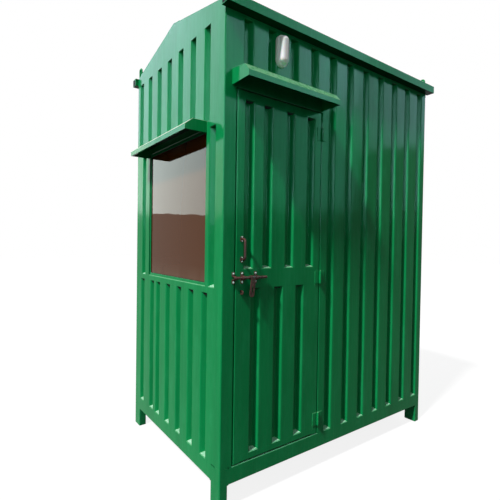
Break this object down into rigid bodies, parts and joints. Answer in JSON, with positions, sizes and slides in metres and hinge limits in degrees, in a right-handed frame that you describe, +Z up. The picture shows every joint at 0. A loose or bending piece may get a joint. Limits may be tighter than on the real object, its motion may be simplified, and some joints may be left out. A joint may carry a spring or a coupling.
{
  "type": "steel guard booth",
  "caption": "Green steel guard booth of ribbed sheet on a tube frame, with a window under an awning, a side door under a canopy, a gabled roof and short legs.",
  "frame": {"origin": "on the ground under the middle of the booth's whole box, awning, canopy and eaves included", "axes": "+Z up, -Y out of the window end, +X out of the door side, the ridge along Y"},
  "size_m": [1.419, 1.98, 2.7271],
  "materials": {
    "green_enamel": "gloss enamel",
    "red_oxide": "red oxide paint, worn",
    "tinted_glass": "bronze tinted float glass",
    "white_plastic": "moulded gloss",
    "opal_plastic": "opal gloss",
    "floor_board": "plywood board"
  },
  "bodies": {
    "booth": {"corner_legs": "green_enamel", "corner_posts": "green_enamel", "end_base_rails": "green_enamel", "side_base_rails": "green_enamel", "floor_joists": "green_enamel", "floor_deck": "floor_board", "side_top_rails": "green_enamel", "end_top_rails": "green_enamel", "front_gable": "green_enamel", "rear_gable": "green_enamel", "left_roof": "green_enamel", "right_roof": "green_enamel", "ridge_beam": "green_enamel", "ridge_cap": "green_enamel", "left_eave": "green_enamel", "right_eave": "green_enamel", "lifting_loops": "green_enamel", "front_lower_panel": "green_enamel", "front_upper_panel": "green_enamel", "window_side_strips": "green_enamel", "sill_rail": "green_enamel", "head_rail": "green_enamel", "window_bead": "green_enamel", "window_glass": "tinted_glass", "window_awning": "green_enamel", "door_canopy": "green_enamel", "right_wall_panel": "green_enamel", "over_door_panel": "green_enamel", "left_wall_panel": "green_enamel", "rear_wall_panel": "green_enamel", "door_jambs": "green_enamel", "door_head": "green_enamel", "lamp_base": "white_plastic", "lamp_diffuser": "opal_plastic", "jamb_hinge_leaves": "green_enamel", "bolt_keeper": "red_oxide"},
    "door": {"door_frame": "green_enamel", "door_upper_panel": "green_enamel", "door_lower_panel": "green_enamel", "door_hinge_leaves": "green_enamel", "door_pull": "red_oxide", "bolt_clips": "red_oxide", "padlock_lug": "red_oxide"},
    "bolt": {"bolt_rod": "red_oxide"},
    "hasp": {"bolt_hasp": "red_oxide"}
  },
  "joints": [
    {"name": "door_hinge", "type": "hinge", "parent": "booth", "child": "door", "pos_m": [0.5735, -0.1675, 0.22], "axis": [0, 0, 1], "range_deg": [0, 170]},
    {"name": "bolt_slide", "type": "slide", "parent": "door", "child": "bolt", "axis": [0, -1, 0], "range_m": [0, 0.025]},
    {"name": "hasp_lift", "type": "hinge", "parent": "bolt", "child": "hasp", "pos_m": [0.5795, -0.68, 1.19], "axis": [0, -1, 0], "range_deg": [0, 160]}
  ]
}
